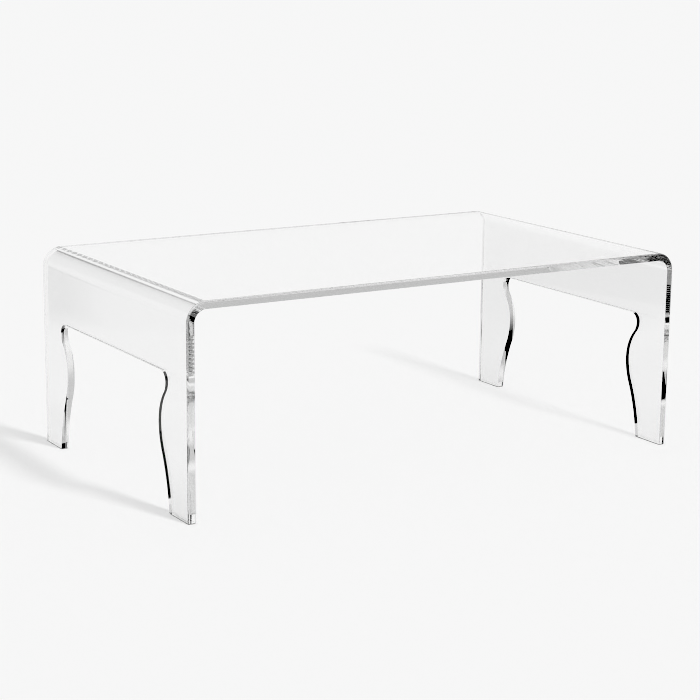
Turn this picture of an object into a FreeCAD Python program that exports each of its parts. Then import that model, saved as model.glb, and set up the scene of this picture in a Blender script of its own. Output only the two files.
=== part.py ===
import FreeCAD, Part
import math
import os

# Waterfall coffee table: one clear acrylic sheet, heat-bent twice so that the top
# runs down into both ends, with a cabriole-legged opening cut in each end.
# Millimetres, +X along the table, +Z up, origin on the floor under its centre.

# Overall size
table_length = 1108.0
table_depth = 652.0
table_height = 406.0

# Acrylic sheet
sheet_thickness = 15.0
bend_inner_radius = 24.0
outer_edge_round = 4.0
arris_chamfer = 0.8

# Opening in each end. Widths run in from the leg's straight outer edge, and the knee
# drop runs down from the opening's straight top edge. The neck stands where the corner
# round starts, and the shin's curve would stand upright again at the ankle drop below
# the floor.
opening_height = 264.0
opening_corner_radius = 19.0
neck_width = 88.0
knee_bulge = 30.0
knee_drop = 98.0
ankle_width = 76.0
ankle_drop = 30.0
knee_to_neck_share = 0.73
ankle_to_knee_share = 0.73

# Self-adhesive floor bumpers, a pair under each foot
bumper_diameter = 10.0
bumper_height = 1.5
bumper_rim_chamfer = 0.5
bumper_end_inset = 13.0

cut_overrun = 20.0
smooth_angle = math.radians(5.0)

half_length = table_length / 2
half_depth = table_depth / 2
bend_outer_radius = bend_inner_radius + sheet_thickness
knee_width = neck_width + knee_bulge
shoulder_width = neck_width + opening_corner_radius
neck_height = opening_height - opening_corner_radius
knee_height = opening_height - knee_drop


def bend_arc(side, radius):
    """Quarter round of one face of a bend, from the end panel up to the table top."""
    centre = FreeCAD.Vector(side * (half_length - bend_outer_radius), -half_depth,
                            table_height - bend_outer_radius)
    outward = FreeCAD.Vector(side * radius, 0, 0)
    upward = FreeCAD.Vector(0, 0, radius)
    middle = centre + (outward + upward) * math.sqrt(0.5)
    return Part.Arc(centre + outward, middle, centre + upward).toShape()


def bent_strip():
    """The bent sheet before its ends are cut out: its edge outline, run front to back."""
    left_outer = bend_arc(-1, bend_outer_radius)
    right_outer = bend_arc(1, bend_outer_radius)
    left_inner = bend_arc(-1, bend_inner_radius)
    right_inner = bend_arc(1, bend_inner_radius)

    def foot(x):
        return FreeCAD.Vector(x, -half_depth, bumper_height)

    left_foot_outer = foot(-half_length)
    left_foot_inner = foot(sheet_thickness - half_length)
    right_foot_outer = foot(half_length)
    right_foot_inner = foot(half_length - sheet_thickness)
    edges = [
        Part.makeLine(left_foot_outer, left_outer.valueAt(left_outer.FirstParameter)),
        left_outer,
        Part.makeLine(left_outer.valueAt(left_outer.LastParameter),
                      right_outer.valueAt(right_outer.LastParameter)),
        right_outer,
        Part.makeLine(right_outer.valueAt(right_outer.FirstParameter), right_foot_outer),
        Part.makeLine(right_foot_outer, right_foot_inner),
        Part.makeLine(right_foot_inner, right_inner.valueAt(right_inner.FirstParameter)),
        right_inner,
        Part.makeLine(right_inner.valueAt(right_inner.LastParameter),
                      left_inner.valueAt(left_inner.LastParameter)),
        left_inner,
        Part.makeLine(left_inner.valueAt(left_inner.FirstParameter), left_foot_inner),
        Part.makeLine(left_foot_inner, left_foot_outer),
    ]
    outline = Part.Wire(Part.__sortEdges__(edges))
    return Part.Face(outline).extrude(FreeCAD.Vector(0, table_depth, 0))


def leg_point(width, height):
    """Point on the front leg's cut edge, in the plane where the cutter enters."""
    return FreeCAD.Vector(-half_length - cut_overrun, width - half_depth, height)


def upright_radius(start, finish):
    """Radius of the arc that leaves start upright and passes through finish."""
    chord = finish - start
    return chord.Length ** 2 / (2 * abs(chord.y))


def upright_arc(start, finish):
    """Arc that leaves start upright and runs to finish."""
    chord = finish - start
    quarter_turn = math.atan2(abs(chord.y), abs(chord.z)) / 2
    reach = 2 * upright_radius(start, finish) * math.sin(quarter_turn)
    aside = math.copysign(reach * math.sin(quarter_turn), chord.y)
    along = math.copysign(reach * math.cos(quarter_turn), chord.z)
    middle = start + FreeCAD.Vector(0, aside, along)
    return Part.Arc(start, middle, finish).toShape()


ankle = leg_point(ankle_width, -ankle_drop)
knee = leg_point(knee_width, knee_height)
neck = leg_point(neck_width, neck_height)
shoulder = leg_point(shoulder_width, opening_height)
shin_join = ankle + (knee - ankle) * ankle_to_knee_share
thigh_join = knee + (neck - knee) * knee_to_neck_share


def end_opening():
    """Cutter for the openings in both ends: two cabriole curves under a straight top."""
    front = [
        upright_arc(ankle, shin_join),
        upright_arc(knee, shin_join),
        upright_arc(knee, thigh_join),
        upright_arc(neck, thigh_join),
        upright_arc(neck, shoulder),
    ]
    origin = FreeCAD.Vector(0, 0, 0)
    across = FreeCAD.Vector(0, 1, 0)
    rear = [edge.mirror(origin, across) for edge in front]

    def rear_point(point):
        return FreeCAD.Vector(point.x, -point.y, point.z)

    top = Part.makeLine(shoulder, rear_point(shoulder))
    bottom = Part.makeLine(ankle, rear_point(ankle))
    outline = Part.Wire(Part.__sortEdges__(front + [top] + rear + [bottom]))
    reach = FreeCAD.Vector(table_length + 2 * cut_overrun, 0, 0)
    return Part.Face(outline).extrude(reach)


def middle_of(edge):
    """Point half way along an edge."""
    return edge.valueAt((edge.FirstParameter + edge.LastParameter) / 2)


def normals_beside(solid, edge):
    """Outward normals of the faces that meet at an edge, half way along it."""
    point = middle_of(edge)
    return [face.normalAt(*face.Surface.parameter(point))
            for face in solid.ancestorsOfType(edge, Part.Face)]


def sharp_edges(solid):
    """Edges where two faces meet at an angle; where a bend runs on smoothly is left out."""
    found = []
    for edge in solid.Edges:
        normals = normals_beside(solid, edge)
        if normals[0].getAngle(normals[-1]) > smooth_angle:
            found.append(edge)
    return found


def outer_long_edges(solid):
    """Front and rear edges of the sheet's outer face, from foot to foot."""
    inside = FreeCAD.Vector(0, 0, table_height / 2)
    found = []
    for edge in sharp_edges(solid):
        sheet_normal = min(normals_beside(solid, edge), key=lambda normal: abs(normal.y))
        faces_out = sheet_normal.dot(middle_of(edge) - inside) > 0
        if edge.BoundBox.YLength < arris_chamfer and edge.BoundBox.ZMax > opening_height and faces_out:
            found.append(edge)
    return found


def bent_sheet():
    """The whole table: bent, rounded over along its outer edges, cut out at both ends, with
    every other arris eased and polished."""
    strip = bent_strip()
    rounded = strip.makeFillet(outer_edge_round, outer_long_edges(strip))
    solid = rounded.cut(end_opening()).Solids[0]
    return solid.makeChamfer(arris_chamfer, sharp_edges(solid))


def foot_width():
    """Width of a foot at its underside, read off the shin's lower arc."""
    radius = upright_radius(ankle, shin_join)
    height_above_ankle = ankle_drop + bumper_height
    return ankle_width + radius - math.sqrt(radius ** 2 - height_above_ankle ** 2)


def bumper(x, y):
    """Round clear pad with its lower rim bevelled, stuck under a foot."""
    base = FreeCAD.Vector(x, y, 0)
    pad = Part.makeCylinder(bumper_diameter / 2, bumper_height, base)
    lower_rim = [edge for edge in pad.Edges
                 if edge.BoundBox.ZMax < bumper_height / 2]
    return pad.makeChamfer(bumper_rim_chamfer, lower_rim)


os.makedirs("parts", exist_ok=True)
bent_sheet().exportStep("parts/bent_sheet.step")
bumper_x = half_length - sheet_thickness / 2
bumper_rows = {
    "outer": half_depth - bumper_end_inset,
    "inner": half_depth - foot_width() + bumper_end_inset,
}
for end, x_side in (("left", -1), ("right", 1)):
    for edge_name, y_side in (("front", -1), ("rear", 1)):
        for row, row_y in bumper_rows.items():
            pad = bumper(x_side * bumper_x, y_side * row_y)
            pad.exportStep(f"parts/{edge_name}_{end}_{row}_bumper.step")
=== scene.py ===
import math

import bmesh
import bpy
from mathutils import Matrix, Vector


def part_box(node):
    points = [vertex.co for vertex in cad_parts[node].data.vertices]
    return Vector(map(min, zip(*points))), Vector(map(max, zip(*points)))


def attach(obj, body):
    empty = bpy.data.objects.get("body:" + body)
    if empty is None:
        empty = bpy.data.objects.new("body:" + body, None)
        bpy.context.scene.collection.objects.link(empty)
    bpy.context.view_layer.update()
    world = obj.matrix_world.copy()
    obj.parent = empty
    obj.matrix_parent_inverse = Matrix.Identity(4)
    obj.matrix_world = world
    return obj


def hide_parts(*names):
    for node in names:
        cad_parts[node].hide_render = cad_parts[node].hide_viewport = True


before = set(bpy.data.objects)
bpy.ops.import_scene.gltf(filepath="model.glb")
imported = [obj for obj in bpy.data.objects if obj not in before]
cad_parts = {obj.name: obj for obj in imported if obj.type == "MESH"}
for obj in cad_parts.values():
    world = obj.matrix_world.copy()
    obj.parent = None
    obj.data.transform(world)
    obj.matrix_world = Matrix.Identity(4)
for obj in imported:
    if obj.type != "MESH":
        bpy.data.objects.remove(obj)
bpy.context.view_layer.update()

# Bent sheet: one 15 mm sheet of cast acrylic, routed to its outline while flat, polished on every cut
# edge, then heated along two lines and bent, so that the top runs down into both ends. Each end is cut
# out into two cabriole legs, whose outline is a chain of tangent arcs.
MM = 0.001
touching = 0.01 * MM
scene = bpy.context.scene
sheet_low, sheet_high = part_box("bent_sheet")
half_length = sheet_high.x
half_depth = sheet_high.y
table_height = sheet_high.z
foot_level = sheet_low.z
sheet_thickness = 15 * MM
bend_outer_radius = 39 * MM
bend_steps = 48
opening_height = 264 * MM
opening_corner_radius = 19 * MM
ankle_width = 76 * MM
ankle_drop = 30 * MM
knee_width = 118 * MM
knee_height = 166 * MM
neck_width = 88 * MM
arc_join_share = 0.73
cut_facet = 2 * MM
least_arc_steps = 4
edge_round = 4 * MM
edge_round_steps = 6
long_arris = 0.8 * MM
rail_arris = 0.8 * MM
cut_arris = 0.2 * MM
arris_steps = 2
sharp = math.radians(30)


def leg_point(width, height):
    """Point on the front left leg's cut edge: in from the leg's outer edge, up from the floor."""
    return Vector((-half_length, width - half_depth, height))


ankle = leg_point(ankle_width, -ankle_drop)
knee = leg_point(knee_width, knee_height)
neck = leg_point(neck_width, opening_height - opening_corner_radius)
shoulder = neck + Vector((0, opening_corner_radius, opening_corner_radius))
shin_join = ankle.lerp(knee, arc_join_share)
thigh_join = knee.lerp(neck, arc_join_share)


def arc_centre(upright, finish):
    """Centre of the arc that stands upright at one end and runs to the other."""
    chord = finish - upright
    radius = chord.length_squared / (2 * abs(chord.y))
    return upright + Vector((0, math.copysign(radius, chord.y), 0))


def spin_to(mesh, tip, finish, centre):
    """Carries an outline on from its tip along an arc about a centre, and returns the new tip."""
    start_arm = tip.co - centre
    finish_arm = finish - centre
    turn = math.atan2(start_arm.cross(finish_arm).x, start_arm.dot(finish_arm))
    steps = max(least_arc_steps, round(abs(turn) * start_arm.length / cut_facet))
    spun = bmesh.ops.spin(mesh, geom=[tip], cent=centre, axis=(1, 0, 0), angle=turn, steps=steps)
    return spun["geom_last"][0]


def extruded(mesh, geometry, move):
    """Extrudes faces or edges by a move and returns the new geometry."""
    if isinstance(geometry[0], bmesh.types.BMFace):
        made = bmesh.ops.extrude_face_region(mesh, geom=geometry)["geom"]
    else:
        made = bmesh.ops.extrude_edge_only(mesh, edges=geometry)["geom"]
    corners = [item for item in made if isinstance(item, bmesh.types.BMVert)]
    bmesh.ops.translate(mesh, verts=corners, vec=move)
    return made


def lying_at(items, axis, level):
    """Those edges or faces whose corners all lie at one level along an axis."""
    return [item for item in items if all(abs(vert.co[axis] - level) < touching for vert in item.verts)]


# The front left leg's cut edge, spun arc by arc from the foot up to the rounded corner of the opening.
quarter = bmesh.new()
shin_centre = arc_centre(ankle, shin_join)
shin_radius = (ankle - shin_centre).length
foot_rise = foot_level - ankle.z
foot_in = shin_radius - math.sqrt(shin_radius ** 2 - foot_rise ** 2)
tip = quarter.verts.new(ankle + Vector((0, foot_in, foot_rise)))
tip = spin_to(quarter, tip, shin_join, shin_centre)
tip = spin_to(quarter, tip, knee, arc_centre(knee, shin_join))
tip = spin_to(quarter, tip, thigh_join, arc_centre(knee, thigh_join))
tip = spin_to(quarter, tip, neck, arc_centre(neck, thigh_join))
tip = spin_to(quarter, tip, shoulder, arc_centre(neck, shoulder))

# The leg's face runs from that edge straight out to its outer edge, then up to the bend, and the rail
# over the opening runs in to the table's middle. The whole quarter is then given its thickness.
cut_edges = quarter.edges[:]
outer = extruded(quarter, cut_edges, Vector((0, 0, 0)))
outer_corners = [item for item in outer if isinstance(item, bmesh.types.BMVert)]
outer_plane = Matrix.Translation((0, half_depth, 0))
bmesh.ops.scale(quarter, verts=outer_corners, vec=(1, 0, 1), space=outer_plane)
bend_level = table_height - bend_outer_radius
shoulder_edge = lying_at(quarter.edges, 2, opening_height)
extruded(quarter, shoulder_edge, Vector((0, 0, bend_level - opening_height)))
inner_edge = lying_at(quarter.edges, 1, shoulder.y)
extruded(quarter, inner_edge, Vector((0, -shoulder.y, 0)))
extruded(quarter, quarter.faces[:], Vector((sheet_thickness, 0, 0)))

# The bend turns the sheet's upper end over through a right angle, and the top runs on to the middle.
# Two mirrors then make the quarter whole.
bend_centre = Vector((bend_outer_radius - half_length, 0, bend_level))
bend_start = lying_at(quarter.faces, 2, bend_level)
bent = bmesh.ops.spin(quarter, geom=bend_start, cent=bend_centre, axis=(0, 1, 0),
                      angle=math.pi / 2, steps=bend_steps)
bend_finish = [item for item in bent["geom_last"] if isinstance(item, bmesh.types.BMFace)]
extruded(quarter, bend_finish, Vector((half_length - bend_outer_radius, 0, 0)))
bmesh.ops.delete(quarter, geom=bend_start + bend_finish, context="FACES")
for axis in range(2):
    bmesh.ops.delete(quarter, geom=lying_at(quarter.faces, axis, 0), context="FACES")
for axis in ("X", "Y"):
    bmesh.ops.mirror(quarter, geom=quarter.verts[:] + quarter.edges[:] + quarter.faces[:],
                     merge_dist=touching, axis=axis)
bmesh.ops.remove_doubles(quarter, verts=quarter.verts, dist=touching)
bmesh.ops.recalc_face_normals(quarter, faces=quarter.faces)
inside_point = Vector((0, 0, table_height / 2))


def on_outer_face(edge):
    """Whether a long edge of the sheet borders its outer face."""
    middle = (edge.verts[0].co + edge.verts[1].co) / 2
    sheet_face = min(edge.link_faces, key=lambda face: abs(face.normal.y))
    return sheet_face.normal.dot(middle - inside_point) > 0


def ease(edges, width, steps):
    """Rounds edges of the sheet over."""
    bmesh.ops.bevel(quarter, geom=edges, offset=width, offset_type="OFFSET", affect="EDGES",
                    segments=steps, profile=0.5, material=-1, clamp_overlap=False)


# The long edges are rounded over on the outer face, and every other cut edge only has its arris eased.
# Where the rail's arris runs out into the corner's, its last points are pressed back level with the face.
long_edges = [edge for edge in quarter.edges if edge.calc_face_angle(0) > sharp
              and all(abs(abs(vert.co.y) - half_depth) < touching for vert in edge.verts)
              and any(vert.co.z > foot_level + touching for vert in edge.verts)]
outer_long_edges = [edge for edge in long_edges if on_outer_face(edge)]
inner_long_edges = [edge for edge in long_edges if not on_outer_face(edge)]
ease(outer_long_edges, edge_round, edge_round_steps)
ease(inner_long_edges, long_arris, arris_steps)
rail_edges = lying_at(quarter.edges, 2, opening_height)
ease([edge for edge in rail_edges if edge.calc_face_angle(0) > sharp], rail_arris, arris_steps)
ease([edge for edge in quarter.edges if edge.calc_face_angle(0) > sharp], cut_arris, arris_steps)
for vert in quarter.verts:
    vert.co.x = min(max(vert.co.x, -half_length), half_length)
for face in quarter.faces:
    face.smooth = True
sheet_mesh = bpy.data.meshes.new("bent_acrylic_sheet")
quarter.to_mesh(sheet_mesh)
quarter.free()
sheet = bpy.data.objects.new("bent_acrylic_sheet", sheet_mesh)
scene.collection.objects.link(sheet)
weighted = sheet.modifiers.new("true_faces", "WEIGHTED_NORMAL")
weighted.weight = 100


def linear(hex_colour):
    """Linear colour of an sRGB hex value, with full alpha."""
    channels = [int(hex_colour[place:place + 2], 16) / 255 for place in (1, 3, 5)]
    return [c / 12.92 if c <= 0.04045 else ((c + 0.055) / 1.055) ** 2.4 for c in channels] + [1.0]


def add_node(owner, kind, settings=None, values=None, links=None):
    """Adds one node: settings are its attributes, values its sockets, links the sockets it is fed from."""
    node = owner.node_tree.nodes.new(kind)
    for name, setting in (settings or {}).items():
        setattr(node, name, setting)
    for name, value in (values or {}).items():
        node.inputs[name].default_value = value
    for name, source in (links or {}).items():
        owner.node_tree.links.new(source, node.inputs[name])
    return node


# Cast acrylic, polished so clear that only its edges show, where it gathers light into black and white.
# Casting leaves a trace of haze and of ripple in it, use leaves hairlines on its faces, the edges keep the
# router's ripple under their polish, and the undersides of the feet are only scraped to a satin.
acrylic_ior = 1.49
acrylic_depth = "#2e2e2e"
acrylic_density = 0.12
haze_colours = ("#fbfbfb", "#fdfdfd")
haze_size = 120 * MM
cast_ripple_size = 80 * MM
cast_ripple_height = 0.01 * MM
router_ripple_size = 4 * MM
router_ripple_height = 0.012 * MM
hairline_width = 0.6 * MM  # real hairlines are a tenth of this, too fine to show
hairline_length = 60 * MM
hairline_turn = math.radians(20)
hairline_start = 0.74
hairline_full = 0.82
hairline_roughness = 0.05
scraped_roughness = 0.12
acrylic = bpy.data.materials.new("cast_acrylic")
acrylic.use_nodes = True
acrylic.node_tree.nodes.clear()
on_sheet = add_node(acrylic, "ShaderNodeTexCoord").outputs
haze_noise = add_node(acrylic, "ShaderNodeTexNoise", values={"Scale": 1 / haze_size, "Detail": 2.0},
                      links={"Vector": on_sheet["Object"]})
haze = add_node(acrylic, "ShaderNodeMix", {"data_type": "RGBA"}, {
    6: linear(haze_colours[0]), 7: linear(haze_colours[1])}, {0: haze_noise.outputs[0]})
along_hairline = add_node(acrylic, "ShaderNodeMapping", {"vector_type": "TEXTURE"}, {
    "Rotation": (0, 0, hairline_turn), "Scale": (hairline_length, hairline_width, hairline_width)},
    {"Vector": on_sheet["Object"]})
hairline_noise = add_node(acrylic, "ShaderNodeTexNoise", values={"Scale": 1.0, "Detail": 0.0},
                          links={"Vector": along_hairline.outputs[0]})
hairlines = add_node(acrylic, "ShaderNodeMapRange", values={
    "From Min": hairline_start, "From Max": hairline_full, "To Max": hairline_roughness},
    links={"Value": hairline_noise.outputs[0]})
sheet_level = add_node(acrylic, "ShaderNodeSeparateXYZ", links={0: on_sheet["Object"]}).outputs["Z"]
scraped = add_node(acrylic, "ShaderNodeMath", {"operation": "LESS_THAN"}, {
    1: foot_level + cut_arris / 4}, {0: sheet_level})
scraped_finish = add_node(acrylic, "ShaderNodeMath", {"operation": "MULTIPLY"}, {1: scraped_roughness},
                          {0: scraped.outputs[0]})
finish = add_node(acrylic, "ShaderNodeMath", {"operation": "MAXIMUM"}, links={
    0: hairlines.outputs[0], 1: scraped_finish.outputs[0]})
facing_ends = add_node(acrylic, "ShaderNodeSeparateXYZ", links={0: on_sheet["Normal"]}).outputs["Y"]
on_edge = add_node(acrylic, "ShaderNodeMath", {"operation": "ABSOLUTE"}, links={0: facing_ends})
router_noise = add_node(acrylic, "ShaderNodeTexNoise", values={
    "Scale": 1 / router_ripple_size, "Detail": 1.0}, links={"Vector": on_sheet["Object"]})
router_ripple = add_node(acrylic, "ShaderNodeMath", {"operation": "MULTIPLY"}, links={
    0: router_noise.outputs[0], 1: on_edge.outputs[0]})
cast_noise = add_node(acrylic, "ShaderNodeTexNoise", values={"Scale": 1 / cast_ripple_size, "Detail": 0.0},
                      links={"Vector": on_sheet["Object"]})
ripple = add_node(acrylic, "ShaderNodeMath", {"operation": "MULTIPLY_ADD"}, {
    1: cast_ripple_height / router_ripple_height}, {0: cast_noise.outputs[0], 2: router_ripple.outputs[0]})
rippled = add_node(acrylic, "ShaderNodeBump", values={"Distance": router_ripple_height},
                   links={"Height": ripple.outputs[0]})
clear = add_node(acrylic, "ShaderNodeBsdfPrincipled", values={
    "IOR": acrylic_ior, "Transmission Weight": 1.0}, links={
    "Base Color": haze.outputs[2], "Roughness": finish.outputs[0], "Normal": rippled.outputs[0]})
absorbed = add_node(acrylic, "ShaderNodeVolumeAbsorption", values={
    "Color": linear(acrylic_depth), "Density": acrylic_density})
add_node(acrylic, "ShaderNodeOutputMaterial", links={
    "Surface": clear.outputs[0], "Volume": absorbed.outputs[0]})
sheet_mesh.materials.append(acrylic)
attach(sheet, "root")
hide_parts("bent_sheet")

# Floor bumpers: clear soft pads, cast as low drums with a bevelled rim, self-adhesive on top, a pair stuck
# under each foot. Polyurethane is a little cloudy inside, with the uneven shine of a skin cured in air.
polyurethane_ior = 1.5
cloud_colours = ("#e9ecea", "#f7f8f7")
cloud_size = 3 * MM
skin_size = 1 * MM
skin_height = 0.01 * MM
skin_roughness = (0.15, 0.35)
polyurethane = bpy.data.materials.new("cast_polyurethane")
polyurethane.use_nodes = True
polyurethane.node_tree.nodes.clear()
on_bumper = add_node(polyurethane, "ShaderNodeTexCoord").outputs["Object"]
cloud = add_node(polyurethane, "ShaderNodeTexNoise", values={"Scale": 1 / cloud_size}, links={
    "Vector": on_bumper})
cloudy = add_node(polyurethane, "ShaderNodeMix", {"data_type": "RGBA"}, {
    6: linear(cloud_colours[0]), 7: linear(cloud_colours[1])}, {0: cloud.outputs[0]})
skin = add_node(polyurethane, "ShaderNodeTexNoise", values={"Scale": 1 / skin_size}, links={
    "Vector": on_bumper})
shine = add_node(polyurethane, "ShaderNodeMapRange", values={
    "To Min": skin_roughness[0], "To Max": skin_roughness[1]}, links={"Value": skin.outputs[0]})
uneven = add_node(polyurethane, "ShaderNodeBump", values={"Distance": skin_height},
                  links={"Height": skin.outputs[0]})
soft_clear = add_node(polyurethane, "ShaderNodeBsdfPrincipled", values={
    "IOR": polyurethane_ior, "Transmission Weight": 1.0}, links={
    "Base Color": cloudy.outputs[2], "Roughness": shine.outputs[0], "Normal": uneven.outputs[0]})
add_node(polyurethane, "ShaderNodeOutputMaterial", links={"Surface": soft_clear.outputs[0]})
bumper_names = [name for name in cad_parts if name.endswith("_bumper")]
for name in bumper_names:
    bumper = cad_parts[name]
    bumper.data.materials.clear()
    bumper.data.materials.append(polyurethane)

# Floor: a pale matt floor without a seam, plain to the eye but for a painted shade under each foot. The
# clear sheet only shows what its faces mirror, so for mirrored rays the floor's colour is painted bright in
# some sectors round the feet and dark in others. That painted light and shade is how bright-field lighting
# draws clear acrylic in black and white.
floor_size = 60.0
floor_white = 0.9
sector_edge = math.radians(3)
once_limit = 1.5
floor_mesh = bpy.data.meshes.new("floor")
floor_shape = bmesh.new()
bmesh.ops.create_grid(floor_shape, x_segments=1, y_segments=1, size=floor_size / 2)
floor_shape.to_mesh(floor_mesh)
floor_shape.free()
floor = bpy.data.objects.new("floor", floor_mesh)
scene.collection.objects.link(floor)
pale = bpy.data.materials.new("pale_floor")
pale.use_nodes = True
pale.node_tree.nodes.clear()


def mirrored_view(owner, inside):
    """1 for a ray mirrored inside a clear piece, or by its outer face, and 0 for light on the floor."""
    path = add_node(owner, "ShaderNodeLightPath")
    mirrored = add_node(owner, "ShaderNodeMath", {"operation": "MINIMUM"}, {1: 1.0},
                        {0: path.outputs["Glossy Depth"]})
    entered = add_node(owner, "ShaderNodeMath", {"operation": "MINIMUM"}, {1: 1.0},
                       {0: path.outputs["Transmission Depth"]})
    kept = add_node(owner, "ShaderNodeMath", {"operation": "MULTIPLY" if inside else "SUBTRACT"}, links={
        0: mirrored.outputs[0], 1: entered.outputs[0]})
    return add_node(owner, "ShaderNodeMath", {"operation": "SUBTRACT", "use_clamp": True}, links={
        0: kept.outputs[0], 1: path.outputs["Diffuse Depth"]}).outputs[0]


def seen_as(owner, view, glow):
    """Brightness: a glow for a mirrored view, and full for every other ray."""
    loss = add_node(owner, "ShaderNodeMath", {"operation": "SUBTRACT", "use_clamp": True}, {0: 1.0},
                    {1: glow})
    lost = add_node(owner, "ShaderNodeMath", {"operation": "MULTIPLY"}, links={0: view, 1: loss.outputs[0]})
    return add_node(owner, "ShaderNodeMath", {"operation": "SUBTRACT"}, {0: 1.0},
                    {1: lost.outputs[0]}).outputs[0]


def towards(owner, place, turn, half_width, glow):
    """A glow where a place or a direction lies in a sector, turned from +Y to +X, and 0 elsewhere."""
    flat = add_node(owner, "ShaderNodeVectorMath", {"operation": "MULTIPLY"}, {1: (1, 1, 0)}, {0: place})
    unit = add_node(owner, "ShaderNodeVectorMath", {"operation": "NORMALIZE"}, links={0: flat.outputs[0]})
    facing = add_node(owner, "ShaderNodeVectorMath", {"operation": "DOT_PRODUCT"},
                      {1: (math.sin(turn), math.cos(turn), 0)}, {0: unit.outputs[0]})
    return add_node(owner, "ShaderNodeMapRange", {"interpolation_type": "SMOOTHSTEP"}, {
        "From Min": math.cos(half_width + sector_edge), "From Max": math.cos(half_width - sector_edge),
        "To Max": glow}, {"Value": facing.outputs["Value"]}).outputs[0]


def combined(owner, operation, first, *others):
    """One number from several: all of them multiplied, or the largest."""
    result = first
    for other in others:
        pair = add_node(owner, "ShaderNodeMath", {"operation": operation}, links={0: result, 1: other})
        result = pair.outputs[0]
    return result


def mirrored_once(owner, glow):
    """A glow for a ray that was mirrored only once, and 0 for one mirrored to and fro."""
    path = add_node(owner, "ShaderNodeLightPath")
    once = add_node(owner, "ShaderNodeMath", {"operation": "LESS_THAN"}, {1: once_limit}, {
        0: path.outputs["Glossy Depth"]})
    return combined(owner, "MULTIPLY", once.outputs[0], glow)


# A pool of light round the table's middle, falling off with distance.
pool_glow = 0.8
pool_reach = 0.58
floor_place = add_node(pale, "ShaderNodeTexCoord").outputs["Object"]
floor_xyz = add_node(pale, "ShaderNodeSeparateXYZ", links={0: floor_place}).outputs
pool_distance = add_node(pale, "ShaderNodeVectorMath", {"operation": "LENGTH"}, links={0: floor_place})
fall_off = add_node(pale, "ShaderNodeMath", {"operation": "DIVIDE"}, {0: pool_reach},
                    {1: pool_distance.outputs["Value"]})
squared = add_node(pale, "ShaderNodeMath", {"operation": "POWER"}, {1: 2.0}, {0: fall_off.outputs[0]})
pool = add_node(pale, "ShaderNodeMath", {"operation": "MINIMUM"}, {1: pool_glow}, {0: squared.outputs[0]})

# The lit floor in front and on the right, as the rear left foot looks at it, brightest just behind the
# table.
lit_turn = math.radians(154.5)
lit_half_width = math.radians(140.5)
lit_near_glow = 0.8
lit_far_glow = 0.7
lit_rise_start = 0.3
lit_peak = 0.5
lit_fall_finish = 1.1
from_left_foot = add_node(pale, "ShaderNodeVectorMath", {"operation": "SUBTRACT"}, {
    1: (-half_length, half_depth, 0)}, {0: floor_place}).outputs[0]
lit_rise = add_node(pale, "ShaderNodeMapRange", {"interpolation_type": "SMOOTHSTEP"}, {
    "From Min": lit_rise_start, "From Max": lit_peak, "To Min": lit_near_glow}, {"Value": floor_xyz["Y"]})
lit_fall = add_node(pale, "ShaderNodeMapRange", {"interpolation_type": "SMOOTHSTEP"}, {
    "From Min": lit_peak, "From Max": lit_fall_finish, "To Min": 1.0, "To Max": lit_far_glow},
    {"Value": floor_xyz["Y"]})
lit_sector = towards(pale, from_left_foot, lit_turn, lit_half_width, 1.0)
lit_floor = combined(pale, "MULTIPLY", lit_sector, lit_rise.outputs[0], lit_fall.outputs[0])

# The floor on the left, bright as far as the dark beyond it.
left_turn = math.radians(-98.5)
left_half_width = math.radians(81.5)
left_glow = 0.85
left_start = 1.0
left_finish = 1.45
left_distance = add_node(pale, "ShaderNodeVectorMath", {"operation": "LENGTH"}, links={0: from_left_foot})
left_sector = towards(pale, from_left_foot, left_turn, left_half_width, 1.0)
left_fade = add_node(pale, "ShaderNodeMapRange", {"interpolation_type": "SMOOTHSTEP"}, {
    "From Min": left_start, "From Max": left_finish, "To Min": left_glow, "To Max": 0.0},
    {"Value": left_distance.outputs["Value"]})
left_floor = combined(pale, "MULTIPLY", left_sector, left_fade.outputs[0])

# The white board on the left of the table is only a bright sector of the dome. Its light is painted on the
# floor, and so is the bright floor that the rear left edge looks at; both only count for rays mirrored
# once, so that the corners keep their black.
board_glow = 0.7
board_floor_turn = math.radians(-90)
board_floor_half_width = math.radians(67)
board_floor_depth = 0.1
left_edge_turn = math.radians(158)
left_edge_half_width = math.radians(14)
from_left_end = add_node(pale, "ShaderNodeVectorMath", {"operation": "SUBTRACT"}, {
    1: (-half_length, board_floor_depth, 0)}, {0: floor_place}).outputs[0]
painted_board_light = mirrored_once(pale, towards(
    pale, from_left_end, board_floor_turn, board_floor_half_width, board_glow))
left_edge_floor = mirrored_once(pale, towards(
    pale, from_left_foot, left_edge_turn, left_edge_half_width, 1.0))
bright_floor = combined(
    pale, "MAXIMUM", pool.outputs[0], left_floor, painted_board_light, left_edge_floor, lit_floor)

# Behind the rear right foot the floor grows dark with distance for rays mirrored to and fro.
right_turn = math.radians(-37.5)
right_half_width = math.radians(22.5)
right_start = 0.5
right_finish = 1.25
right_losses = (0.3, 0.75)
deep_limit = 2.5
from_right_foot = add_node(pale, "ShaderNodeVectorMath", {"operation": "SUBTRACT"}, {
    1: (half_length, half_depth, 0)}, {0: floor_place}).outputs[0]
right_distance = add_node(pale, "ShaderNodeVectorMath", {"operation": "LENGTH"}, links={0: from_right_foot})
right_loss = add_node(pale, "ShaderNodeMapRange", values={
    "From Min": right_start, "From Max": right_finish,
    "To Min": right_losses[0], "To Max": right_losses[1]},
    links={"Value": right_distance.outputs["Value"]})
right_sector = towards(pale, from_right_foot, right_turn, right_half_width, 1.0)
mirror_count = add_node(pale, "ShaderNodeLightPath").outputs["Glossy Depth"]
deep = add_node(pale, "ShaderNodeMath", {"operation": "GREATER_THAN"}, {1: deep_limit}, {0: mirror_count})
right_lost = combined(pale, "MULTIPLY", right_sector, deep.outputs[0], right_loss.outputs[0])
right_kept = add_node(pale, "ShaderNodeMath", {"operation": "SUBTRACT"}, {0: 1.0}, {1: right_lost})
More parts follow.
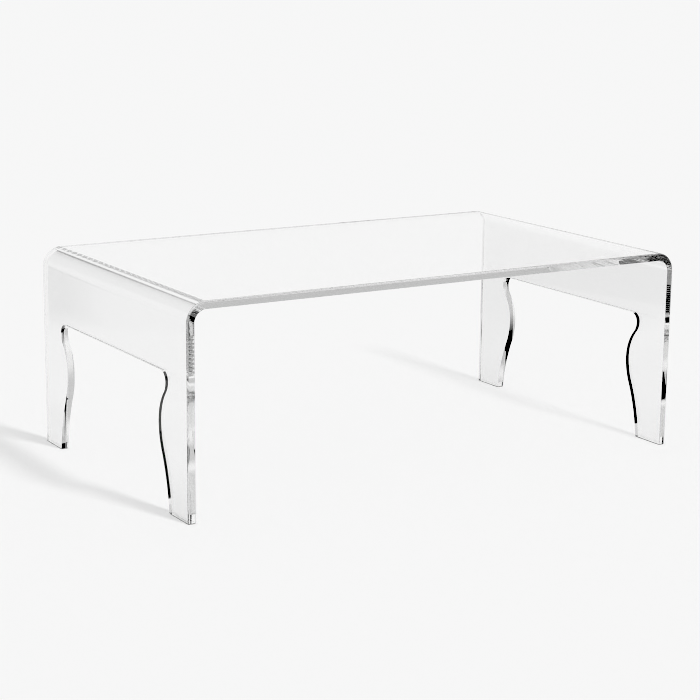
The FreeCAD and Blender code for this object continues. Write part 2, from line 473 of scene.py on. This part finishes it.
kept_floor = combined(pale, "MULTIPLY", bright_floor, right_kept.outputs[0])

# Rays that run along the whole right bend still find some light on the far floor, and the rear right edge
# looks at a lit patch close to its foot.
far_glow = 0.42
far_start = 0.8
far_full = 1.05
deepest_limit = 18.5
right_edge_turn = math.radians(143)
right_edge_half_width = math.radians(12)
right_edge_glow = 0.95
right_edge_start = 0.75
right_edge_finish = 0.95
far_rise = add_node(pale, "ShaderNodeMapRange", {"interpolation_type": "SMOOTHSTEP"}, {
    "From Min": far_start, "From Max": far_full, "To Max": far_glow},
    {"Value": left_distance.outputs["Value"]})
deepest = add_node(pale, "ShaderNodeMath", {"operation": "GREATER_THAN"}, {1: deepest_limit}, {
    0: mirror_count})
far_floor = combined(pale, "MULTIPLY", far_rise.outputs[0], deepest.outputs[0])
right_edge_fade = add_node(pale, "ShaderNodeMapRange", {"interpolation_type": "SMOOTHSTEP"}, {
    "From Min": right_edge_start, "From Max": right_edge_finish, "To Min": right_edge_glow, "To Max": 0.0},
    {"Value": right_distance.outputs["Value"]})
right_edge_sector = towards(pale, from_right_foot, right_edge_turn, right_edge_half_width, 1.0)
right_edge_floor = mirrored_once(pale, combined(
    pale, "MULTIPLY", right_edge_sector, right_edge_fade.outputs[0]))
inside_glow = combined(pale, "MAXIMUM", kept_floor, far_floor, right_edge_floor)

# The outer faces mirror the floor under the table and on the left as bright, the floor behind the table as
# dark, and the floor close to the front feet and to the rear right foot as darker.
under_glow = 0.7
behind_glow = 0.2
behind_way = (0.4, 1.0, 0.0)
behind_start = 0.42
behind_full = 0.65
front_foot_glow = 0.55
front_foot_start = 0.08
rear_foot_start = 0.1
foot_finish = 0.42
floor_depth = add_node(pale, "ShaderNodeVectorMath", {"operation": "DOT_PRODUCT"}, {1: behind_way}, {
    0: floor_place})
behind = add_node(pale, "ShaderNodeMapRange", {"interpolation_type": "SMOOTHSTEP"}, {
    "From Min": behind_start, "From Max": behind_full, "To Min": under_glow, "To Max": behind_glow},
    {"Value": floor_depth.outputs["Value"]})
either_end = add_node(pale, "ShaderNodeMath", {"operation": "ABSOLUTE"}, links={0: floor_xyz["X"]})
folded = add_node(pale, "ShaderNodeCombineXYZ", links={"X": either_end.outputs[0], "Y": floor_xyz["Y"]})
from_front_foot = add_node(pale, "ShaderNodeVectorMath", {"operation": "DISTANCE"}, {
    1: (half_length, -half_depth, 0)}, {0: folded.outputs[0]})
by_front_foot = add_node(pale, "ShaderNodeMapRange", {"interpolation_type": "SMOOTHSTEP"}, {
    "From Min": front_foot_start, "From Max": foot_finish, "To Min": front_foot_glow},
    {"Value": from_front_foot.outputs["Value"]})
by_rear_foot = add_node(pale, "ShaderNodeMapRange", {"interpolation_type": "SMOOTHSTEP"}, {
    "From Min": rear_foot_start, "From Max": foot_finish}, {"Value": right_distance.outputs["Value"]})
outside_glow = combined(
    pale, "MULTIPLY", combined(pale, "MAXIMUM", left_sector, behind.outputs[0]),
    by_front_foot.outputs[0], by_rear_foot.outputs[0])

# Painted shade: the floor's colour is darkened where each foot stands over it, in plain view more than in
# a mirrored one.
foot_shade = 0.55
mirrored_foot_shade = 0.2
foot_shade_edge = 1 * MM
foot_half = Vector((sheet_thickness / 2, (ankle_width + foot_in) / 2, 0))
foot_centre = Vector((half_length, half_depth, 0)) - foot_half
any_foot = add_node(pale, "ShaderNodeVectorMath", {"operation": "ABSOLUTE"}, links={0: floor_place})
from_foot = add_node(pale, "ShaderNodeVectorMath", {"operation": "SUBTRACT"}, {1: foot_centre}, {
    0: any_foot.outputs[0]})
off_centre = add_node(pale, "ShaderNodeVectorMath", {"operation": "ABSOLUTE"}, links={
    0: from_foot.outputs[0]})
off_foot = add_node(pale, "ShaderNodeSeparateXYZ", links={0: off_centre.outputs[0]}).outputs
under_x, under_y = [add_node(pale, "ShaderNodeMapRange", values={
    "From Min": half - foot_shade_edge, "From Max": half + foot_shade_edge, "To Min": 1.0, "To Max": 0.0},
    links={"Value": off_foot[axis]}).outputs[0] for axis, half in (("X", foot_half.x), ("Y", foot_half.y))]
inside_view = mirrored_view(pale, True)
shade_depth = add_node(pale, "ShaderNodeMapRange", values={
    "To Min": foot_shade, "To Max": mirrored_foot_shade}, links={"Value": inside_view})
under_foot = combined(pale, "MULTIPLY", under_x, under_y, shade_depth.outputs[0])
open_floor = add_node(pale, "ShaderNodeMath", {"operation": "SUBTRACT"}, {0: 1.0}, {1: under_foot})
floor_seen = combined(
    pale, "MULTIPLY", seen_as(pale, inside_view, inside_glow),
    seen_as(pale, mirrored_view(pale, False), outside_glow), open_floor.outputs[0])
floor_colour = add_node(pale, "ShaderNodeMath", {"operation": "MULTIPLY"}, {1: floor_white}, {
    0: floor_seen})
matt = add_node(pale, "ShaderNodeBsdfDiffuse", links={"Color": floor_colour.outputs[0]})
add_node(pale, "ShaderNodeOutputMaterial", links={"Surface": matt.outputs[0]})
floor_mesh.materials.append(pale)

# Dome: soft white light from all round, and plain to the eye. What the sheet's inner faces mirror of it is
# the studio: dark low down and grey above, with a white backdrop behind the table, the board on its left, a
# softbox in front of it and the ceiling light. The lamps' share of the floor's light is taken off the dome.
backdrop_turn = math.radians(46)
backdrop_half_width = math.radians(32)
backdrop_foot_glow = 0.65
backdrop_full = math.radians(8)
board_turn = math.radians(-34.25)
board_half_width = math.radians(10.75)
softbox_turn = math.radians(180)
softbox_half_width = math.radians(24)
softbox_glow = 0.9
ceiling_start = math.radians(38)
ceiling_full = math.radians(46)
wall_start = math.radians(1)
wall_full = math.radians(6)
wall_glow = 0.24
wall_gap_turn = math.radians(-37.5)
wall_gap_half_width = math.radians(12.5)
foot_gap_turn = math.radians(-24)
foot_gap_half_width = math.radians(14)
foot_mirrors = 2.0
mirror_tolerance = 0.5
sky_level = 0.94
dome_strength = 1.041
lamp_shares = {"left": 0.195, "right": 0.115}
world = bpy.data.worlds.new("soft_dome")
world.use_nodes = True
world.node_tree.nodes.clear()
sky_place = add_node(world, "ShaderNodeTexCoord").outputs["Generated"]
sky_height = add_node(world, "ShaderNodeSeparateXYZ", links={0: sky_place}).outputs["Z"]
ceiling = add_node(world, "ShaderNodeMapRange", {"interpolation_type": "SMOOTHSTEP"}, {
    "From Min": math.sin(ceiling_start), "From Max": math.sin(ceiling_full)}, {"Value": sky_height})
wall_rise = add_node(world, "ShaderNodeMapRange", {"interpolation_type": "SMOOTHSTEP"}, {
    "From Min": math.sin(wall_start), "From Max": math.sin(wall_full), "To Max": wall_glow},
    {"Value": sky_height})

# The wall is dark on the left, and further round for the feet, whose rays are mirrored twice.
wall_gap = towards(world, sky_place, wall_gap_turn, wall_gap_half_width, wall_glow)
twice = add_node(world, "ShaderNodeMath", {"operation": "COMPARE"}, {
    1: foot_mirrors, 2: mirror_tolerance}, {
    0: add_node(world, "ShaderNodeLightPath").outputs["Glossy Depth"]})
foot_gap = combined(world, "MULTIPLY", towards(
    world, sky_place, foot_gap_turn, foot_gap_half_width, wall_glow), twice.outputs[0])
wall = add_node(world, "ShaderNodeMath", {"operation": "SUBTRACT", "use_clamp": True}, links={
    0: wall_rise.outputs[0], 1: combined(world, "MAXIMUM", wall_gap, foot_gap)})

# The white things of the studio, and the share of it all that each kind of ray sees.
backdrop_rise = add_node(world, "ShaderNodeMapRange", {"interpolation_type": "SMOOTHSTEP"}, {
    "From Min": 0.0, "From Max": math.sin(backdrop_full), "To Min": backdrop_foot_glow},
    {"Value": sky_height})
backdrop_sector = towards(world, sky_place, backdrop_turn, backdrop_half_width, 1.0)
backdrop = combined(world, "MULTIPLY", backdrop_sector, backdrop_rise.outputs[0])
board = mirrored_once(world, towards(world, sky_place, board_turn, board_half_width, board_glow))
softbox = towards(world, sky_place, softbox_turn, softbox_half_width, softbox_glow)
studio = combined(world, "MAXIMUM", ceiling.outputs[0], wall.outputs[0], board, backdrop, softbox)
on_floor = add_node(world, "ShaderNodeMath", {"operation": "MINIMUM"}, {1: 1.0}, {
    0: add_node(world, "ShaderNodeLightPath").outputs["Diffuse Depth"]})
dome_share = add_node(world, "ShaderNodeMapRange", values={
    "To Min": sky_level, "To Max": 1.0 - sum(lamp_shares.values())}, links={"Value": on_floor.outputs[0]})
dome_seen = combined(
    world, "MULTIPLY", seen_as(world, mirrored_view(world, True), studio), dome_share.outputs[0])
dome_level = add_node(world, "ShaderNodeMath", {"operation": "MULTIPLY"}, {1: dome_strength}, {
    0: dome_seen})
dome = add_node(world, "ShaderNodeBackground", links={"Strength": dome_level.outputs[0]},
                values={"Color": (1.0, 1.0, 1.0, 1.0)})
add_node(world, "ShaderNodeOutputWorld", links={"Surface": dome.outputs[0]})
world.cycles.sampling_method = "NONE"
scene.world = world

# Lamps in front, one for each end: an end meets its lamp's light almost edge on and throws a soft streak
# on the floor, while the clear top lets the light through. A hidden copy of each end throws the streak. It
# stops most light by the foot and over the opening, and less along the leg.
lamp_spread = math.radians(9)
lamp_sideways = {"left": -0.11, "right": -0.03}
lamp_forward = 0.36
lamp_drop = 0.33
leg_shares = (0.8, 0.34)
leg_share_height = 0.24
rail_start = 0.22
rail_full = 0.3
sheet.visible_shadow = False
end_shade = bpy.data.materials.new("end_shade")
end_shade.use_nodes = True
end_shade.node_tree.nodes.clear()
shade_black = add_node(end_shade, "ShaderNodeBsdfDiffuse", values={"Color": (0.0, 0.0, 0.0, 1.0)})
shade_height = add_node(end_shade, "ShaderNodeSeparateXYZ", links={
    0: add_node(end_shade, "ShaderNodeTexCoord").outputs["Object"]}).outputs["Z"]
leg_share = add_node(end_shade, "ShaderNodeMapRange", values={
    "From Min": 0.0, "From Max": leg_share_height, "To Min": leg_shares[0], "To Max": leg_shares[1]},
    links={"Value": shade_height})
rail_share = add_node(end_shade, "ShaderNodeMapRange", {"interpolation_type": "SMOOTHSTEP"}, {
    "From Min": rail_start, "From Max": rail_full}, {"Value": shade_height})
shade_share = combined(end_shade, "MAXIMUM", leg_share.outputs[0], rail_share.outputs[0])
let_through = add_node(end_shade, "ShaderNodeBsdfTransparent")
shade_mix = add_node(end_shade, "ShaderNodeMixShader", links={
    0: shade_share, 1: let_through.outputs[0], 2: shade_black.outputs[0]})
add_node(end_shade, "ShaderNodeOutputMaterial", links={"Surface": shade_mix.outputs[0]})
for end, side in (("left", -1), ("right", 1)):
    shade_shape = bmesh.new()
    shade_shape.from_mesh(sheet_mesh)
    top_faces = [face for face in shade_shape.faces
                 if face.calc_center_median().x * side < half_length - bend_outer_radius / 2]
    bmesh.ops.delete(shade_shape, geom=top_faces, context="FACES")
    shade_mesh = bpy.data.meshes.new(f"{end}_shade")
    shade_shape.to_mesh(shade_mesh)
    shade_shape.free()
    shade_mesh.materials.clear()
    shade_mesh.materials.append(end_shade)
    shade = bpy.data.objects.new(f"{end}_shade", shade_mesh)
    shade.visible_camera = False
    shade.visible_diffuse = False
    shade.visible_glossy = False
    shade.visible_transmission = False
    scene.collection.objects.link(shade)
    lamp_way = Vector((lamp_sideways[end], lamp_forward, -lamp_drop)).normalized()
    lamp_data = bpy.data.lights.new(f"{end}_lamp", "SUN")
    lamp_data.angle = lamp_spread
    lamp_data.energy = lamp_shares[end] * dome_strength * math.pi / -lamp_way.z
    lamp = bpy.data.objects.new(f"{end}_lamp", lamp_data)
    lamp.rotation_euler = lamp_way.to_track_quat("-Z", "Y").to_euler()
    lamp.visible_glossy = False
    lamp.visible_transmission = False
    scene.collection.objects.link(lamp)
    blockers = bpy.data.collections.new(f"{end}_shade")
    blockers.objects.link(shade)
    lamp.light_linking.blocker_collection = blockers

# Flags: black cards close to the sheet, one beside each front leg on its right. Only rays mirrored once
# inside the sheet see them, for the dark line of the leg's cut edge.
flag_gap = 30 * MM
flag_width = 0.17
flag_height = 0.34
flag_depth = -0.285
flag_level = 0.2
black = bpy.data.materials.new("black_card")
black.use_nodes = True
black.node_tree.nodes.clear()
hidden = add_node(black, "ShaderNodeBsdfTransparent")
card = add_node(black, "ShaderNodeBsdfDiffuse", values={"Color": (0.0, 0.0, 0.0, 1.0)})
shown = add_node(black, "ShaderNodeMixShader", links={
    0: mirrored_once(black, mirrored_view(black, True)), 1: hidden.outputs[0], 2: card.outputs[0]})
add_node(black, "ShaderNodeOutputMaterial", links={"Surface": shown.outputs[0]})
leg_faces = {"left_leg_flag": sheet_thickness - half_length, "right_leg_flag": half_length}
for name, leg_face in leg_faces.items():
    flag_shape = bmesh.new()
    bmesh.ops.create_grid(flag_shape, x_segments=1, y_segments=1, size=0.5)
    bmesh.ops.rotate(flag_shape, verts=flag_shape.verts, matrix=Matrix.Rotation(math.pi / 2, 3, "Y"))
    bmesh.ops.scale(flag_shape, verts=flag_shape.verts, vec=(1, flag_width, flag_height))
    flag_place = (leg_face + flag_gap, flag_depth, flag_level)
    bmesh.ops.translate(flag_shape, verts=flag_shape.verts, vec=flag_place)
    flag_mesh = bpy.data.meshes.new(name)
    flag_shape.to_mesh(flag_mesh)
    flag_shape.free()
    flag_mesh.materials.append(black)
    flag = bpy.data.objects.new(name, flag_mesh)
    flag.visible_shadow = False
    scene.collection.objects.link(flag)

# Camera: a short telephoto a little above the table and to its left, as in the photograph, with the sheet's
# blacks taken right down as a studio print has them. The bounces let light run the length of the edges.
camera_sensor = 36.0
camera_lens = 98.54
camera_place = (-2.0246, -3.2712, 1.0653)
camera_heading = math.radians(-31.519)
camera_dip = math.radians(12.724)
camera_roll = math.radians(0.608)
black_level = 0.13
bounces = 1024
pixel_filter = 1.0
camera_data = bpy.data.cameras.new("camera")
camera_data.sensor_width = camera_sensor
camera_data.lens = camera_lens
camera = bpy.data.objects.new("camera", camera_data)
scene.collection.objects.link(camera)
camera_turn = (Matrix.Rotation(camera_heading, 4, "Z")
               @ Matrix.Rotation(math.pi / 2 - camera_dip, 4, "X")
               @ Matrix.Rotation(camera_roll, 4, "Z"))
camera.matrix_world = Matrix.Translation(camera_place) @ camera_turn
scene.camera = camera
scene.view_settings.view_transform = "Standard"
scene.view_settings.use_curve_mapping = True
scene.view_settings.curve_mapping.black_level = (black_level, black_level, black_level)
scene.view_settings.curve_mapping.update()
scene.cycles.max_bounces = bounces
scene.cycles.transmission_bounces = bounces
scene.cycles.glossy_bounces = bounces
scene.cycles.transparent_max_bounces = bounces
scene.cycles.blur_glossy = 0.0
scene.cycles.filter_width = pixel_filter
